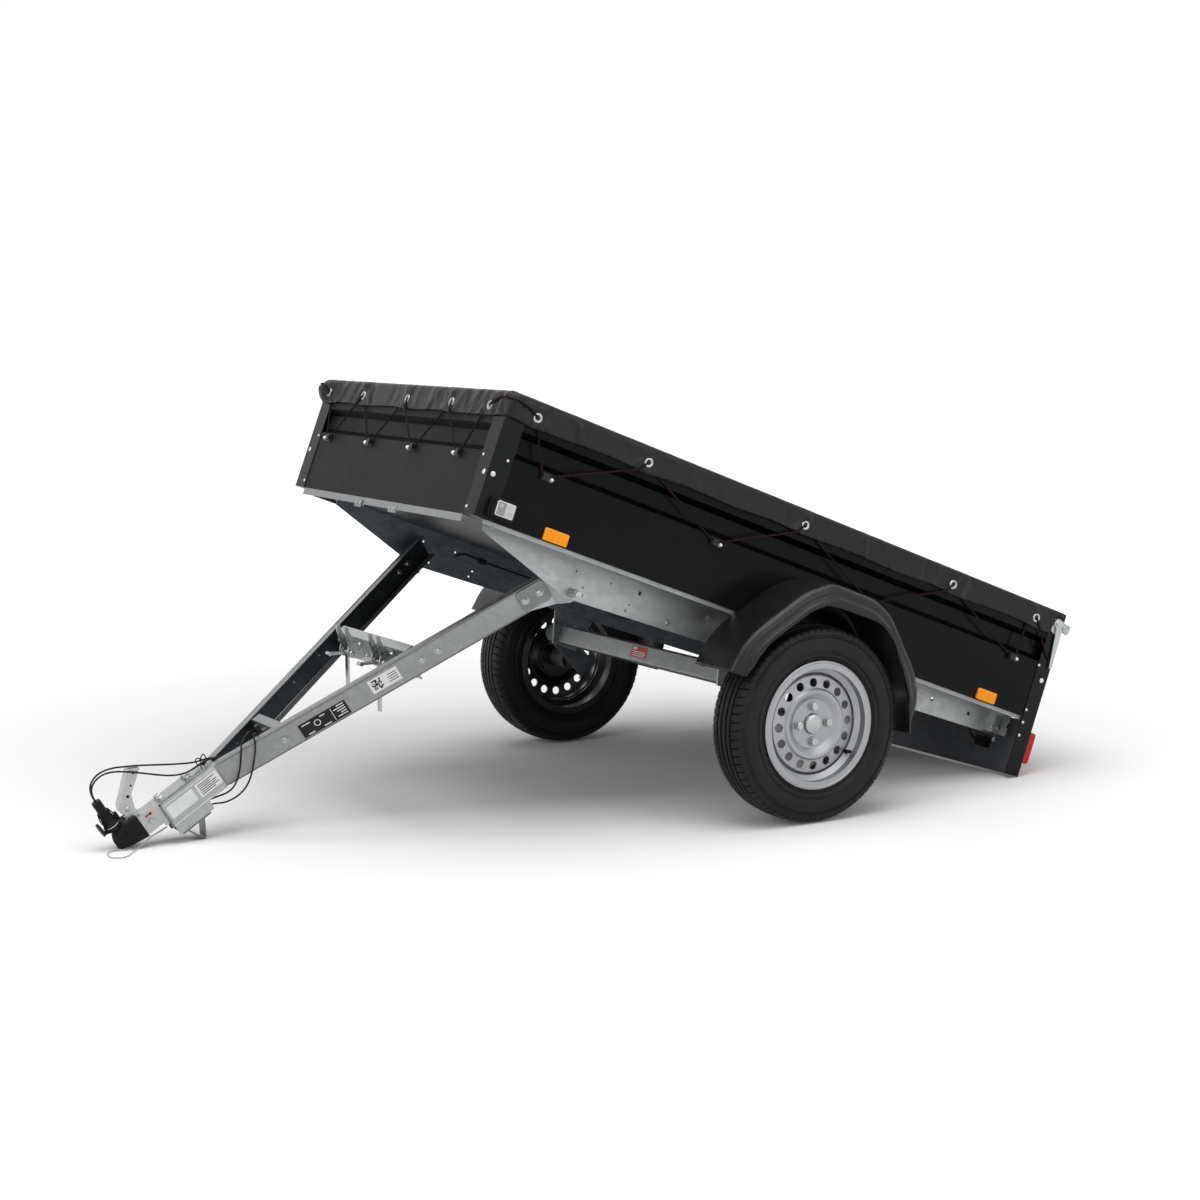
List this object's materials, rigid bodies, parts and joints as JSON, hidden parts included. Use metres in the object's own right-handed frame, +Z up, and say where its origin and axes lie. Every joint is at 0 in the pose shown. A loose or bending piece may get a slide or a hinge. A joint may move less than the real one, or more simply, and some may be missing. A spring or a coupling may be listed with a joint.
{
  "type": "tipping utility trailer",
  "caption": "Single-axle tipping utility trailer with flat cover: low box bed on an A-frame drawbar with coupling, mudguards and drop tailgate, parked with the bed tipped back.",
  "frame": {"origin": "middle of the footprint, on the floor, with the trailer parked on its wheels, rear post feet and support foot", "axes": "+X forward, towards the coupling; +Y to the trailer's left side; +Z up"},
  "size_m": [2.9273, 1.58, 1.2324],
  "materials": {
    "amber": "amber reflector",
    "black_post": "black powder coat, fine texture",
    "black_sheet": "gloss black coated sheet",
    "cable": "black cable sheath",
    "cover": "black coated cover fabric",
    "floor": "dark brown film-faced plywood",
    "galvanised": "hot-dip galvanised steel, matt grey",
    "guard": "black moulded plastic",
    "lamp_red": "red lamp lens",
    "lamp_white": "clear white lamp lens",
    "plate": "blank white number plate",
    "rim": "silver painted steel wheel",
    "rubber": "black rubber",
    "tyre": "black tyre rubber",
    "wire": "thin steel wire rope",
    "zinc": "bright zinc plated steel"
  },
  "bodies": {
    "bed": {"axle_arm_left": "galvanised", "axle_arm_right": "galvanised", "axle_bracket_left": "galvanised", "axle_bracket_right": "galvanised", "axle_tube": "galvanised", "bed_cable": "cable", "cover": "cover", "cover_rear_flap": "cover", "floor_board": "floor", "floor_edge_left": "galvanised", "floor_edge_right": "galvanised", "front_bar": "galvanised", "front_post_left": "black_post", "front_post_right": "black_post", "front_wall": "black_sheet", "junction_box": "rubber", "latch_plates": "galvanised", "light_board": "black_post", "mudguard_left": "guard", "mudguard_right": "guard", "number_plate": "plate", "position_lamps": "lamp_white", "rail_left": "galvanised", "rail_right": "galvanised", "rear_post_left": "black_post", "rear_post_right": "black_post", "side_reflectors": "amber", "side_wall_left": "black_sheet", "side_wall_right": "black_sheet", "tail_lamp_left": "lamp_red", "tail_lamp_right": "lamp_red", "tailgate_hinges": "galvanised"},
    "drawbar": {"cable_loop": "cable", "cable_lower": "cable", "cable_upper": "cable", "coupling_channel": "galvanised", "coupling_cover": "rubber", "coupling_head": "zinc", "coupling_lever": "zinc", "cross_brace": "galvanised", "drawbar_arm_left": "galvanised", "drawbar_arm_right": "galvanised", "latch_beam": "galvanised", "pivot_plate_left": "galvanised", "pivot_plate_right": "galvanised", "plug": "cable", "safety_wire": "wire", "support_foot": "galvanised", "tip_latch_left": "galvanised", "tip_latch_right": "galvanised"},
    "tailgate": {"gate_latch_left": "galvanised", "gate_latch_right": "galvanised", "tailgate": "black_sheet"},
    "wheel_left": {"hub_left": "rim", "rim_left": "rim", "tyre_left": "tyre"},
    "wheel_right": {"hub_right": "rim", "rim_right": "rim", "tyre_right": "tyre"}
  },
  "joints": [
    {"name": "bed_tip", "type": "hinge", "parent": "drawbar", "child": "bed", "pos_m": [0.25179, 0, 0.6681], "axis": [0, 1, 0], "range_deg": [0, 52.77]},
    {"name": "wheel_left_spin", "type": "hinge", "parent": "bed", "child": "wheel_left", "pos_m": [-0.3791, 0.699, 0.2795], "axis": [0, 1, 0], "continuous": true},
    {"name": "wheel_right_spin", "type": "hinge", "parent": "bed", "child": "wheel_right", "pos_m": [-0.3791, -0.699, 0.2795], "axis": [0, 1, 0], "continuous": true},
    {"name": "tailgate_hinge", "type": "hinge", "parent": "bed", "child": "tailgate", "pos_m": [-1.32254, 0, 0.17404], "axis": [0, -1, 0], "range_deg": [0, 90], "deforming": ["cover_rear_flap"]}
  ]
}
